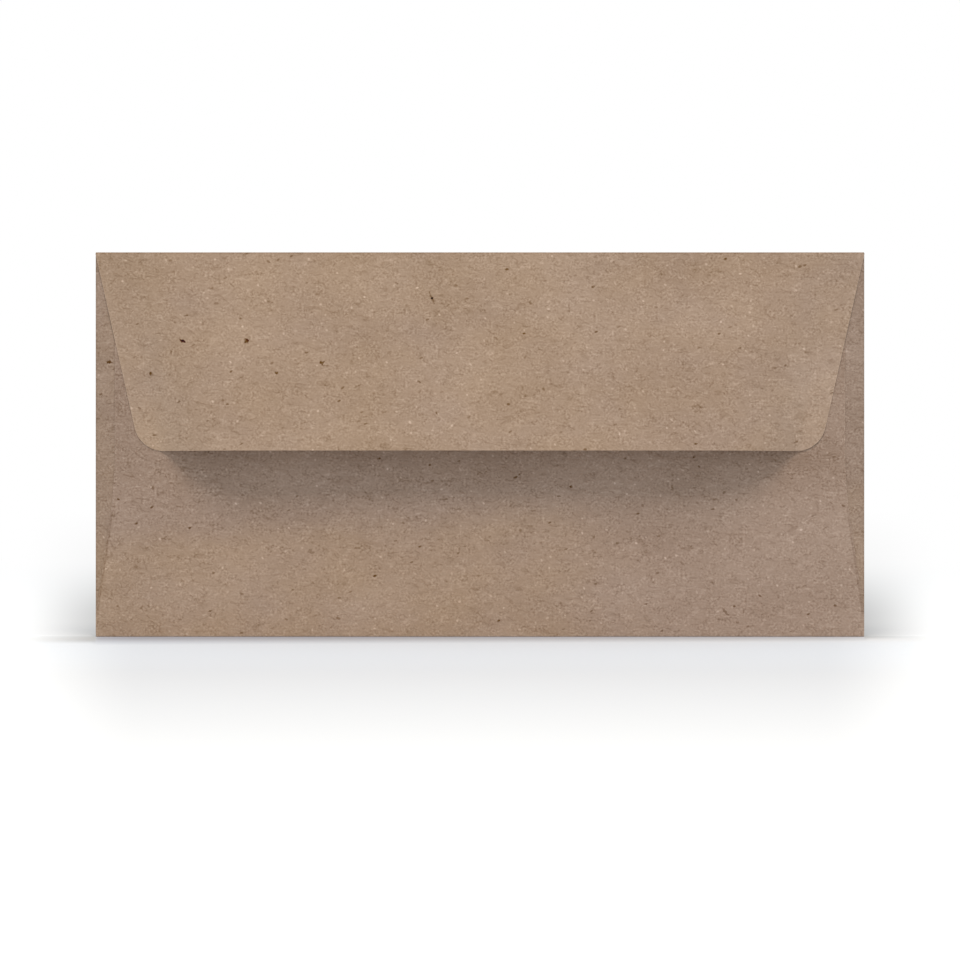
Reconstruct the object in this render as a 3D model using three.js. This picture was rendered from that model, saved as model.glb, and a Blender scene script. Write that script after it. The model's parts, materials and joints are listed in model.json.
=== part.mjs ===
// A kraft paper envelope of the DL size, folded from one die-cut blank.
//
// It stands on its bottom fold with the seal flap's side towards -Y, +X to the right and +Z up.
// The origin is the middle of the bottom fold. All lengths are in millimetres.
//
// The front panel is the plain address side. Two side flaps fold in behind it, the back panel folds
// up over them and is glued to them, and the seal flap folds down over the back panel's lip.
// Each panel of the blank is its own sheet of paper, and each score line its own half-round fold.

import * as THREE from "three";

// The closed envelope
const WIDTH = 220;
const HEIGHT = 110;

// The paper and what lies between its layers
const PAPER = 0.15;
const POCKET_GAP = 0.4; // free depth of the pocket over a side flap
const GLUE_FILM = 0.06;
const LAYER_GAP = 0.12; // air between layers that lie on each other without glue

// The back panel
const THROAT = 20; // from the top crease down to the lip
const LIP_CORNER = 6;
const LIP_BOW = 0.75; // how far the lip stands off its flat plane, at the middle of the mouth
const BACK_INSET = 5.5; // from the side crease in to the back panel's upright edge
const FOOT_INSET = 0.1; // the same at the bottom crease
const FOOT_RISE = 6.5; // height at which the edge starts to slant inwards
const SEAM_SLANT = THREE.MathUtils.degToRad(8.4);
const KNEE_REACH = 10; // the slant turns upright over this much height each way

// The side flaps and their glue
const SIDE_FLAP_WIDTH = 22;
const SIDE_FLAP_END = 0.8; // from the bottom and the top of the envelope to the flap's ends
const SIDE_FLAP_RISE = 14; // height of its tapered ends
const SIDE_FLAP_CORNER = 5;
const GLUE_MARGIN = 2;
const GLUE_CORNER = 3;

// The seal flap and its gum
const FLAP_REACH = 56.6; // from the crease's axis to the free edge
const FLAP_SLANT = THREE.MathUtils.degToRad(12.7);
const FLAP_CORNER = 8.5;
const FLAP_BOW = 8.3; // how far the free edge's middle stands off the line between its corners
const FLAP_FLATNESS = 6; // 2 gives the bow a parabola's shape, and more a flatter middle
const REST_ANGLE = THREE.MathUtils.degToRad(0.5); // how far the flap's corners spring open
const GUM_WIDTH = 12;
const GUM_INSET = 2.5;
const GUM_FILM = 0.05;
const GUM_GAP = 0.12; // keeps the gum's facets clear of the bowed flap's

// Facets
const FOLD_STEPS = 9; // an odd number puts a flat facet on the outermost line of a fold
const CORNER_STEPS = 6;
const KNEE_STEPS = 4;
const SHEET_ROWS = 5;
const SHEET_COLUMNS = 48;

// Where the layers lie in depth
const halfWidth = WIDTH / 2;
const halfPocket = (POCKET_GAP + PAPER + GLUE_FILM) / 2;
const frontInnerY = halfPocket;
const backOuterY = -halfPocket - PAPER;
const glueY = -halfPocket;
const sideFlapY = glueY + GLUE_FILM;

// Folds: a half-round bend from one layer to the next, with its flat outer facet on the envelope's outline
const flatReach = (radius) => radius * Math.cos(Math.PI / (2 * FOLD_STEPS));
const bottomFold = { inner: halfPocket, outer: halfPocket + PAPER };
bottomFold.y = 0;
bottomFold.z = flatReach(bottomFold.outer);
const sideFold = { inner: POCKET_GAP / 2, outer: POCKET_GAP / 2 + PAPER };
sideFold.y = frontInnerY - sideFold.inner;
sideFold.x = halfWidth - flatReach(sideFold.outer);
const topFold = { inner: (POCKET_GAP + PAPER + LAYER_GAP) / 2 };
topFold.outer = topFold.inner + PAPER;
topFold.y = frontInnerY - topFold.inner;
topFold.z = HEIGHT - flatReach(topFold.outer);

// Heights and edges that several pieces share
const lipZ = HEIGHT - THROAT;
const backHalf = halfWidth - BACK_INSET;
const footHalf = halfWidth - FOOT_INSET;
const kneeZ = FOOT_RISE + (footHalf - backHalf) / Math.tan(SEAM_SLANT);
const sideInnerX = sideFold.x - SIDE_FLAP_WIDTH;

// The flap's paper starts just clear of the fold, so that it can swing round the crease's axis.
const flapRoot = Math.sqrt((topFold.outer + LAYER_GAP) ** 2 - topFold.inner ** 2);

// Materials

function matt(name, color, roughness) {
  return new THREE.MeshStandardMaterial({ name, color, roughness, metalness: 0 });
}

const PAPER_ROUGHNESS = 0.88;
const kraftOutside = matt("kraft_outside", 0xa88f7a, PAPER_ROUGHNESS);
const kraftInside = matt("kraft_inside", 0xa58b74, PAPER_ROUGHNESS);
const kraftFold = matt("kraft_fold", 0xb09883, PAPER_ROUGHNESS);
const dryGlue = matt("dry_glue", 0xe0d8c4, 0.5);
const gumFilm = matt("gum_film", 0xa08565, 0.35);

// Makers of shapes

// An outline of straight edges whose corners [x, y, radius] are rounded by arcs.
function roundedShape(corners) {
  const shape = new THREE.Shape();
  corners.forEach(([x, y, radius], index) => {
    const corner = new THREE.Vector2(x, y);
    const [beforeX, beforeY] = corners.at(index - 1);
    const [afterX, afterY] = corners[(index + 1) % corners.length];
    const toBefore = new THREE.Vector2(beforeX, beforeY).sub(corner).normalize();
    const toAfter = new THREE.Vector2(afterX, afterY).sub(corner).normalize();
    const halfAngle = Math.acos(toBefore.dot(toAfter)) / 2;
    const towardsCentre = toBefore.clone().add(toAfter).normalize();
    const centre = corner.clone().addScaledVector(towardsCentre, radius / Math.sin(halfAngle));
    const start = corner.clone().addScaledVector(toBefore, radius / Math.tan(halfAngle));
    const end = corner.clone().addScaledVector(toAfter, radius / Math.tan(halfAngle));
    if (index === 0) {
      shape.moveTo(start.x, start.y);
    } else {
      shape.lineTo(start.x, start.y);
    }
    if (radius > 0) {
      const startAngle = Math.atan2(start.y - centre.y, start.x - centre.x);
      const endAngle = Math.atan2(end.y - centre.y, end.x - centre.x);
      const clockwise = toBefore.cross(toAfter) > 0;
      shape.absarc(centre.x, centre.y, radius, startAngle, endAngle, clockwise);
    }
  });
  return shape;
}

// A flat sheet: an outline in x and z, from lowY to lowY + thickness.
function flatSheet(outline, lowY, thickness) {
  const settings = { depth: thickness, bevelEnabled: false, curveSegments: CORNER_STEPS / 2 };
  const geometry = new THREE.ExtrudeGeometry(outline, settings);
  geometry.rotateX(Math.PI / 2);
  geometry.translate(0, lowY + thickness, 0);
  return geometry;
}

// A bowed sheet: rows [z, half width] from one end to the other, each split into the same number of
// columns. outerY(x, z) is its outer face, and its inner face lies one thickness behind that.
function bowedSheet(rows, outerY, thickness) {
  const positions = [];
  for (const depth of [0, thickness]) {
    for (const [z, half] of rows) {
      for (let column = 0; column <= SHEET_COLUMNS; column += 1) {
        const x = half * (2 * column / SHEET_COLUMNS - 1);
        positions.push(x, outerY(x, z) + depth, z);
      }
    }
  }
  const stride = SHEET_COLUMNS + 1;
  const innerFace = rows.length * stride;
  const index = [];
  const quad = (a, b, c, d) => index.push(a, b, c, a, c, d);
  for (let row = 0; row + 1 < rows.length; row += 1) {
    for (let column = 0; column < SHEET_COLUMNS; column += 1) {
      const outer = row * stride + column;
      const inner = innerFace + outer;
      quad(outer, outer + 1, outer + stride + 1, outer + stride);
      quad(inner, inner + stride, inner + stride + 1, inner + 1);
    }
    const left = row * stride;
    const right = left + SHEET_COLUMNS;
    quad(left, left + stride, innerFace + left + stride, innerFace + left);
    quad(right, innerFace + right, innerFace + right + stride, right + stride);
  }
  const lastRow = (rows.length - 1) * stride;
  for (let column = 0; column < SHEET_COLUMNS; column += 1) {
    quad(column, innerFace + column, innerFace + column + 1, column + 1);
    const corner = lastRow + column;
    quad(corner, corner + 1, innerFace + corner + 1, innerFace + corner);
  }
  if (rows.at(-1)[0] < rows[0][0]) {
    index.reverse();
  }
  const geometry = new THREE.BufferGeometry();
  geometry.setAttribute("position", new THREE.Float32BufferAttribute(positions, 3));
  geometry.setIndex(index);
  geometry.computeVertexNormals();
  return geometry;
}

// A half-round fold, swept along z: its mouth opens towards -y.
function foldBend({ inner, outer }, length) {
  const bend = (radius) => Array.from({ length: FOLD_STEPS + 1 }, (_, step) => {
    const angle = Math.PI * step / FOLD_STEPS;
    return new THREE.Vector2(radius * Math.cos(angle), radius * Math.sin(angle));
  });
  const outline = new THREE.Shape([...bend(outer), ...bend(inner).reverse()]);
  return new THREE.ExtrudeGeometry(outline, { depth: length, bevelEnabled: false });
}

// Turns a fold so that its own x, y and z axes lie along the three given directions.
function turned(geometry, alongX, alongY, alongZ) {
  const direction = (values) => new THREE.Vector3(...values);
  const basis = new THREE.Matrix4();
  basis.makeBasis(direction(alongX), direction(alongY), direction(alongZ));
  return geometry.applyMatrix4(basis);
}

// Rows round the two corners of a sheet's free end. The sides slant in by an angle and would be
// halfAtZero wide at reach 0. Each row is [reach, half width], and the last lies on the free edge.
function cornerRows(halfAtZero, slant, reach, radius) {
  const centreReach = reach - radius;
  const centreX = halfAtZero - Math.tan(slant) * centreReach - radius / Math.cos(slant);
  return Array.from({ length: CORNER_STEPS + 1 }, (_, step) => {
    const angle = slant + (Math.PI / 2 - slant) * step / CORNER_STEPS;
    return [centreReach + radius * Math.sin(angle), centreX + radius * Math.cos(angle)];
  });
}

function named(name, geometry, material) {
  const mesh = new THREE.Mesh(geometry, material);
  mesh.name = name;
  return mesh;
}

// The front panel, plain on its outside, is the address side.
function makeFrontPanel() {
  const outline = roundedShape([
    [-sideFold.x, bottomFold.z, 0],
    [sideFold.x, bottomFold.z, 0],
    [sideFold.x, topFold.z, 0],
    [-sideFold.x, topFold.z, 0],
  ]);
  return named("front_panel", flatSheet(outline, frontInnerY, PAPER), kraftOutside);
}

// Half the back panel's width at a height: full at the foot, then a slant that turns upright at the knee.
function backHalfAt(z) {
  if (z <= FOOT_RISE) {
    return footHalf;
  }
  const slope = Math.tan(SEAM_SLANT);
  if (z < kneeZ - KNEE_REACH) {
    return backHalf + slope * (kneeZ - z);
  }
  const left = Math.max(0, kneeZ + KNEE_REACH - z);
  return backHalf + slope * left ** 2 / (4 * KNEE_REACH);
}

// The mouth stands open a little: the lip bows outwards between the side flaps, and the bow runs
// out in straight lines towards the bottom fold.
function lipBow(x, z) {
  const across = Math.max(0, 1 - (x / sideInnerX) ** 2) ** 2;
  return LIP_BOW * across * (z - bottomFold.z) / (lipZ - bottomFold.z);
}

function makeBackPanel() {
  const heights = [bottomFold.z, FOOT_RISE];
  for (let step = 0; step <= KNEE_STEPS; step += 1) {
    heights.push(kneeZ + KNEE_REACH * (2 * step / KNEE_STEPS - 1));
  }
  const lipRows = cornerRows(backHalf, 0, lipZ, LIP_CORNER);
  const upright = lipRows[0][0] - (kneeZ + KNEE_REACH);
  for (let row = 1; row < SHEET_ROWS; row += 1) {
    heights.push(kneeZ + KNEE_REACH + upright * row / SHEET_ROWS);
  }
  const rows = [...heights.map((z) => [z, backHalfAt(z)]), ...lipRows];
  const geometry = bowedSheet(rows, (x, z) => backOuterY - lipBow(x, z), PAPER);
  return named("back_panel", geometry, kraftOutside);
}

// Side flaps, their folds and the glue that holds the back panel to them. side is 1 on the right.
function makeSide(side, word) {
  const lowZ = SIDE_FLAP_END;
  const highZ = HEIGHT - SIDE_FLAP_END;
  const flapOutline = roundedShape([
    [side * sideFold.x, lowZ, 0],
    [side * sideInnerX, lowZ + SIDE_FLAP_RISE, SIDE_FLAP_CORNER],
    [side * sideInnerX, highZ - SIDE_FLAP_RISE, SIDE_FLAP_CORNER],
    [side * sideFold.x, highZ, 0],
  ]);
  const flap = named(`${word}_side_flap`, flatSheet(flapOutline, sideFlapY, PAPER), kraftInside);

  const bend = turned(foldBend(sideFold, highZ - lowZ), [0, side, 0], [side, 0, 0], [0, 0, -1]);
  const fold = named(`${word}_side_fold`, bend, kraftFold);
  fold.position.set(side * sideFold.x, sideFold.y, highZ);

  const glueInner = side * (sideInnerX + GLUE_MARGIN);
  const glueOuter = side * (backHalf - GLUE_MARGIN);
  const glueLow = lowZ + SIDE_FLAP_RISE + GLUE_MARGIN;
  const glueHigh = lipZ - LIP_CORNER;
  const glueOutline = roundedShape([
    [glueInner, glueLow, GLUE_CORNER],
    [glueOuter, glueLow, GLUE_CORNER],
    [glueOuter, glueHigh, GLUE_CORNER],
    [glueInner, glueHigh, GLUE_CORNER],
  ]);
  const glue = named(`${word}_seam_glue`, flatSheet(glueOutline, glueY, GLUE_FILM), dryGlue);
  return [flap, fold, glue];
}

// The bottom fold joins the front panel to the back panel, and the envelope stands on its flat facet.
function makeBottomFold() {
  const bend = turned(foldBend(bottomFold, 2 * footHalf), [0, 1, 0], [0, 0, -1], [-1, 0, 0]);
  const fold = named("bottom_fold", bend, kraftFold);
  fold.position.set(footHalf, bottomFold.y, bottomFold.z);
  return fold;
}

// The top fold is the crease that the seal flap turns about.
function makeTopFold() {
  const length = 2 * sideFold.x;
  const bend = turned(foldBend(topFold, length), [0, 1, 0], [0, 0, 1], [1, 0, 0]);
  const fold = named("top_fold", bend, kraftFold);
  fold.position.set(-length / 2, topFold.y, topFold.z);
  return fold;
}

// The seal flap and its gum hang from the crease's axis: z is minus the reach from that axis.
function flapRows(inset, from) {
  const halfAtZero = halfWidth - inset / Math.cos(FLAP_SLANT);
  const corner = cornerRows(halfAtZero, FLAP_SLANT, FLAP_REACH - inset, FLAP_CORNER - inset);
  const straight = corner[0][0] - from;
  const rows = Array.from({ length: SHEET_ROWS }, (_, row) => {
    const reach = from + straight * row / SHEET_ROWS;
    return [reach, halfAtZero - Math.tan(FLAP_SLANT) * reach];
  });
  return [...rows, ...corner].map(([reach, half]) => [-reach, half]);
}

// The flap springs off the back panel in the middle, and its slanted edges curl back towards it.
function flapBow(x, z) {
  const half = halfWidth + Math.tan(FLAP_SLANT) * z;
  return FLAP_BOW * (1 - (x / half) ** FLAP_FLATNESS) * -z / FLAP_REACH;
}

function makeFlapGroup() {
  const group = new THREE.Group();
  group.position.set(0, topFold.y, topFold.z);
  group.rotation.x = -REST_ANGLE;

  const flapY = (x, z) => -topFold.outer - flapBow(x, z);
  const flap = named("seal_flap", bowedSheet(flapRows(0, flapRoot), flapY, PAPER), kraftOutside);

  // The dried gum lies on the flap's inner face.
  const gumFrom = FLAP_REACH - GUM_INSET - GUM_WIDTH;
  const gumY = (x, z) => flapY(x, z) + PAPER + GUM_GAP;
  const gum = named("seal_gum", bowedSheet(flapRows(GUM_INSET, gumFrom), gumY, GUM_FILM), gumFilm);
  group.add(flap, gum);
  return group;
}

const envelope = new THREE.Group();
envelope.add(makeFrontPanel());
envelope.add(makeBackPanel());
envelope.add(makeBottomFold());
envelope.add(makeTopFold());
envelope.add(...makeSide(-1, "left"));
envelope.add(...makeSide(1, "right"));
envelope.add(makeFlapGroup());

export default envelope;
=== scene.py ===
# %% [markdown]
# A kraft envelope is one sheet of brown paper that is cut, scored, folded and glued. This lesson
# dresses a ready frame of it: every panel gets the thickness of paper, rounded folds, a slight
# bow, and a surface of fibres and specks. Lengths are written in millimetres and multiplied by MM,
# because Blender works in metres.

import json
import math

import bpy
import numpy as np
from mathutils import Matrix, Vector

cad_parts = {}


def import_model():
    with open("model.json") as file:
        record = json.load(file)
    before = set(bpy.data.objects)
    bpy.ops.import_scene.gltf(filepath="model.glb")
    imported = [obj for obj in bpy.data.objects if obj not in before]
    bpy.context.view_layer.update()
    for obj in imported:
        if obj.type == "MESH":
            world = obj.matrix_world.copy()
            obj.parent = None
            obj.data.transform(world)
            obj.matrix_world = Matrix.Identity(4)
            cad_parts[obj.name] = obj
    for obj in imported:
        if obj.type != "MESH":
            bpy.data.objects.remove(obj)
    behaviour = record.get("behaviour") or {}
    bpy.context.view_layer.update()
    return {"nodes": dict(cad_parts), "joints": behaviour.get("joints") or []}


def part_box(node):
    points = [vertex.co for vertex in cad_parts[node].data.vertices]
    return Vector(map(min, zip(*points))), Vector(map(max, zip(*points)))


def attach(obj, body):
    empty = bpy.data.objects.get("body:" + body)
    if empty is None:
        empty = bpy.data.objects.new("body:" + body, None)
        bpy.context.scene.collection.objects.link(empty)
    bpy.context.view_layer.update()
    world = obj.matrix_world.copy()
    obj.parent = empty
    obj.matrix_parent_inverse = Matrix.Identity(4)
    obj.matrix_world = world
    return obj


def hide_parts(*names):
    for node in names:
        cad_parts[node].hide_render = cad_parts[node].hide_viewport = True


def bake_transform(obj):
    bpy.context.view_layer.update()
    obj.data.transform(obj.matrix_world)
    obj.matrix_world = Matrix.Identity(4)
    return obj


MM = 0.001

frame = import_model()

# %% [markdown]
# A sheet that replaces a solid has to lie exactly where the solid does. So the sizes that the
# frame already knows, such as the thickness of the paper and the height of the folds, are read
# from its boxes, and only the sizes of the outlines are written here again.

# %% Sizes that the frame knows
def box_mm(node):
    """The lowest and highest corner of a node, in millimetres."""
    low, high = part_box(node)
    return np.array(low) / MM, np.array(high) / MM


front_low, front_high = box_mm("front_panel")
side_low, side_high = box_mm("right_side_flap")
side_fold_low, side_fold_high = box_mm("right_side_fold")
top_low, top_high = box_mm("top_fold")
back_high = box_mm("back_panel")[1]
bottom_high = box_mm("bottom_fold")[1]

HALF_WIDTH = side_fold_high[0]
PAPER = front_high[1] - front_low[1]
print("paper", round(PAPER, 3), "mm, half the width", round(HALF_WIDTH, 2), "mm")

# %% [markdown]
# Four folds join the panels: the bottom fold, on which the envelope stands and from which the back
# panel rises to its lip, an upright fold for each side flap, and the crease at the top, whose axis
# is the frame's only joint. The outlines need a few lengths, slants and corner radii more.

# %% Sizes of the outlines
# OUTER is the radius of a fold's outer face, and RUN the length of paper that goes round it.
BOTTOM_Z = bottom_high[2]
BOTTOM_OUTER = bottom_high[1]
BOTTOM_RUN = math.pi * BOTTOM_OUTER
FOOT_HALF = bottom_high[0]
FOOT_RISE = 6.5
SEAM_INSET = 5.5
SEAM_SLANT = math.radians(8.4)
BACK_HALF = HALF_WIDTH - SEAM_INSET
KNEE_REACH = 10.0
KNEE_Z = FOOT_RISE + (FOOT_HALF - BACK_HALF) / math.tan(SEAM_SLANT)
LIP_Z = back_high[2]
LIP_CORNER = 6.0
LIP_BOW = 0.75

SIDE_X = side_fold_low[0]
SIDE_FOLD_OUTER = (side_fold_high[1] - side_fold_low[1]) / 2
SIDE_FOLD_Y = (side_fold_high[1] + side_fold_low[1]) / 2
SIDE_FOLD_RUN = math.pi * SIDE_FOLD_OUTER
SIDE_WIDTH = side_high[0] - side_low[0]
SIDE_RISE = 14.0
SIDE_CORNER = 5.0

hinge = frame["joints"][0]
CREASE_Y = hinge["pos_m"][1] / MM
CREASE_Z = hinge["pos_m"][2] / MM
CREASE_OUTER = (top_high[1] - top_low[1]) / 2
REST_ANGLE = math.radians(0.5)
FLAP_REACH = 56.38
FLAP_SLANT = math.radians(12.7)
FLAP_CORNER = 8.5

print("lip at", round(LIP_Z, 2), "mm, knee at", round(KNEE_Z, 2), "mm, crease at", round(CREASE_Z, 2), "mm")

# %% [markdown]
# The camera stands square in front of the envelope, as high as the middle of the picture. How much
# it sees is set by the width that the picture covers at the envelope, so the focal length follows
# from the distance: a lens sees the sensor's width at its focal length, and that width grows in
# proportion to the distance.

# %% Camera
CAMERA_DISTANCE = 800.0
CAMERA_HEIGHT = 44.85
PICTURE_WIDTH = 274.8

camera = bpy.data.objects.new("camera", bpy.data.cameras.new("camera"))
bpy.context.scene.collection.objects.link(camera)
camera.location = (0, -CAMERA_DISTANCE * MM, CAMERA_HEIGHT * MM)
camera.rotation_euler = (math.radians(90), 0, 0)
camera.data.lens = camera.data.sensor_width * CAMERA_DISTANCE / PICTURE_WIDTH
bpy.context.scene.camera = camera
print("focal length", round(camera.data.lens, 1), "mm")

# %% [markdown]
# Paper is never quite flat. It takes up moisture and cockles in long, shallow waves. A handful of
# sine waves with chosen lengths and directions is enough, because nobody counts waves that are a
# tenth of a millimetre high. They fade out where a panel meets a fold, so that the pieces still
# meet edge to edge.

# %% Cockles
WAVES = 7
SHORTEST_WAVE = 22
LONGEST_WAVE = 70
WIDEST_TURN = 1.1

wave_random = np.random.default_rng(11)
wave_lengths = wave_random.uniform(SHORTEST_WAVE, LONGEST_WAVE, WAVES)
wave_turns = wave_random.uniform(-WIDEST_TURN, WIDEST_TURN, WAVES)
wave_starts = wave_random.uniform(0, 2 * math.pi, WAVES)
print("waves of", np.round(wave_lengths), "mm")


def cockle(u, v):
    """The mean of WAVES sines. Each runs along its own direction, which is mostly upright."""
    total = np.zeros_like(u)
    for length, turn, start in zip(wave_lengths, wave_turns, wave_starts):
        along = u * math.sin(turn) + v * math.cos(turn)
        total += np.sin(2 * math.pi * along / length + start)
    return total / WAVES


def fade(distance, reach):
    """0 at distance 0, 1 at reach and past it, and smooth between: 3 k squared - 2 k cubed."""
    k = np.clip(distance / reach, 0, 1)
    return k * k * (3 - 2 * k)


# %% [markdown]
# A sheet of paper is a surface with two sides and a thin cut edge. Blender's Solidify modifier
# could give it a thickness, but a grid whose points are moved along their own normals does the same
# with one line of numpy, and leaves the piece a plain mesh. Its faces are the quads of the outer
# grid, those of the inner grid the other way round, and a rim that joins the two borders.

# %% Faces of a closed sheet
def grid_faces(rows, columns):
    """The quads of a grid, whose vertices count along its rows."""
    index = np.arange(rows * columns).reshape(rows, columns)
    corners = [index[:-1, :-1], index[:-1, 1:], index[1:, 1:], index[1:, :-1]]
    return np.stack(corners, -1).reshape(-1, 4)


def rim_faces(rows, columns):
    """The quads that join the border of the outer grid to that of the inner one."""
    index = np.arange(rows * columns).reshape(rows, columns)
    border = np.concatenate([index[0, :], index[1:, -1], index[-1, -2::-1], index[-2:0:-1, 0]])
    after = np.roll(border, -1)
    inner = rows * columns
    return np.stack([border, border + inner, after + inner, after], -1)


def sheet_faces(rows, columns):
    """All faces of a sheet: the outer grid's, the inner grid's turned over, and the rim's."""
    outer = grid_faces(rows, columns)
    inner = outer[:, ::-1] + rows * columns
    return np.concatenate([outer, inner, rim_faces(rows, columns)])


print("a sheet of 3 by 4 points has", len(sheet_faces(3, 4)), "faces")

# %% [markdown]
# Each point keeps its place on the flat blank, in millimetres, in an attribute: the material's
# fibres then follow the paper round each fold, as they do on real paper. The third number of that
# place is the depth behind the outer face, which tells the two faces apart. Two more attributes
# tell how near a point is to a cut edge and to a fold.

# %% From a grid to a sheet
PLAIN_SIDE = (0, 1, 0)
FLAP_SIDE = (0, -1, 0)
SHARP_EDGE = math.radians(50)
# A distance in mm that counts as far from every edge and fold.
NO_EDGE = 9.0


def unit_normals(points):
    """The cross product of a grid's two directions, scaled to length 1."""
    across = np.gradient(points, axis=1)
    along = np.gradient(points, axis=0)
    normals = np.cross(across, along)
    return normals / np.linalg.norm(normals, axis=-1, keepdims=True)


def store(mesh, name, values):
    """Keeps one number, or one row of three numbers, for each point of a mesh."""
    kind, field = ("FLOAT", "value") if values.ndim == 1 else ("FLOAT_VECTOR", "vector")
    attribute = mesh.attributes.new(name, kind, "POINT")
    attribute.data.foreach_set(field, values.astype(np.float32).ravel())


def sheet_piece(name, points, flat, cut, fold, facing, depths=(0.0, PAPER)):
    """A closed sheet from a grid of points on its outer face, all in millimetres.

    flat is the place of each point on the blank, cut its distance from a cut edge and fold its
    distance from a fold. facing is a direction that the outer face looks in, and depths are how
    far behind that face the sheet begins and ends.
    """
    normals = unit_normals(points)
    if (normals @ np.array(facing, float)).mean() < 0:
        points, flat, cut, fold = (grid[:, ::-1] for grid in (points, flat, cut, fold))
        normals = -normals[:, ::-1]
    layers = [(points - normals * depth).reshape(-1, 3) for depth in depths]
    faces = sheet_faces(*cut.shape)
    mesh = bpy.data.meshes.new(name)
    mesh.from_pydata((np.concatenate(layers) * MM).tolist(), [], faces.tolist())
    places = np.tile(flat.reshape(-1, 2), (2, 1))
    store(mesh, "flat", np.column_stack([places, np.repeat(depths, cut.size)]))
    store(mesh, "cut", np.tile(cut.ravel(), 2))
    store(mesh, "fold", np.tile(fold.ravel(), 2))
    mesh.polygons.foreach_set("use_smooth", np.ones(len(faces), bool))
    mesh.set_sharp_from_angle(angle=SHARP_EDGE)
    mesh.update()
    piece = bpy.data.objects.new(name, mesh)
    bpy.context.scene.collection.objects.link(piece)
    print(name, "has", 2 * len(faces), "triangles")
    return piece


# %% [markdown]
# The grids are closer together near their borders, where the folds and round corners are, and their
# first row after a fold is only a third of a millimetre away from it, so that the smooth shading
# stays on the fold. Each piece below sets its rows out along the run of the paper.

# %% Spacing of the grids
COLUMNS = 150
FIRST_STEP = 0.3
SINE_SHARE = 0.45


def crowded(count):
    """count values from -1 to 1, closer together at both ends: a mix of a sine and a straight line."""
    k = np.linspace(-1, 1, count)
    return SINE_SHARE * np.sin(k * math.pi / 2) + (1 - SINE_SHARE) * k


def round_steps(count, start=0.0):
    """count values up to 1, as a quarter circle's height grows from the angle start."""
    return np.sin(np.linspace(start, math.pi / 2, count))


def joined_rows(near, corner, count, ends):
    """The rows near a fold, count even ones between, and the rows of a round corner. ends are how
    far the first and the last of the even ones are from their neighbours."""
    middle = np.linspace(near[-1] + ends[0], corner[0] - ends[1], count)
    return np.concatenate([near, middle, corner])


print("columns are", np.round(HALF_WIDTH * np.diff(crowded(COLUMNS))[[0, COLUMNS // 2]], 2), "mm apart")

# %% [markdown]
# The front panel is the plain address side. It is a flat grid with the faintest cockle, which goes
# inwards only, because the panel's outer face is also what the envelope lies on.

# %% Front panel
FRONT_COCKLE = 0.05
FRONT_FADE = 12
FRONT_ROWS = 70


def make_front_panel():
    """x and z run over the panel. y is its outer face, less a cockle that is never negative."""
    z_low, z_high = front_low[2], front_high[2]
    z_rows = z_low + (crowded(FRONT_ROWS) + 1) / 2 * (z_high - z_low)
    s, z = np.meshgrid(crowded(COLUMNS), z_rows)
    x = s * front_high[0]
    from_edge = np.minimum(front_high[0] - abs(x), np.minimum(z - z_low, z_high - z))
    y = front_high[1] - FRONT_COCKLE * (1 + cockle(x, z)) * fade(from_edge, FRONT_FADE)
    points = np.stack([x, y, z], -1)
    flat = np.stack([x, z], -1)
    cut = np.full_like(x, NO_EDGE)
    return sheet_piece("front_panel_paper", points, flat, cut, from_edge, PLAIN_SIDE)


front_panel = make_front_panel()

# %% [markdown]
# The back panel and the bottom fold are one run of paper: half a turn round the fold, and then
# straight up to the lip. One grid with its rows set out along that run keeps the fold and the panel
# in one surface, so no seam shows. Its sides follow the cut of the blank, which is full width at
# the foot, slants in, and turns upright at a knee.

# %% Outline and bow of the back panel
BACK_COCKLE = 0.1
BACK_FADE = 25
BACK_WAVE_SHIFT = 40


def back_half(z):
    """Half the panel's width: full at the foot, a straight slant, and a parabola at the knee. The
    lip's corners are quarter circles."""
    slope = math.tan(SEAM_SLANT)
    slant = BACK_HALF + slope * (KNEE_Z - z)
    knee = BACK_HALF + slope * np.maximum(0, KNEE_Z + KNEE_REACH - z) ** 2 / (4 * KNEE_REACH)
    half = np.where(z < KNEE_Z - KNEE_REACH, slant, knee)
    half = np.where(z < FOOT_RISE, FOOT_HALF, half)
    into_corner = np.clip(z - (LIP_Z - LIP_CORNER), 0, LIP_CORNER)
    return half - LIP_CORNER + np.sqrt(LIP_CORNER ** 2 - into_corner ** 2)


def back_y(x, z):
    """The outer face: flat beside the seams, and bowed between them in straight lines up to the
    lip. Across the panel the bow is the square of 1 less the square of the place."""
    across = np.maximum(0, 1 - (x / (SIDE_X - SIDE_WIDTH)) ** 2) ** 2
    bow = LIP_BOW * across * (z - BOTTOM_Z) / (LIP_Z - BOTTOM_Z)
    wave = BACK_COCKLE * cockle(x + BACK_WAVE_SHIFT, z) * across * fade(z - BOTTOM_Z, BACK_FADE)
    return -BOTTOM_OUTER - bow - wave


back_widths = 2 * back_half(np.array([BOTTOM_Z, KNEE_Z, LIP_Z]))
print("the back panel is", np.round(back_widths, 1), "mm wide at its foot, knee and lip")

# %% Back panel
FOLD_STEPS = 15
NEAR_FOLD = 10
NEAR_FOLD_STEPS = 12
BACK_ROWS = 55
BACK_ROW_ENDS = (1.5, 1.0)
LIP_STEPS = 14


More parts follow.
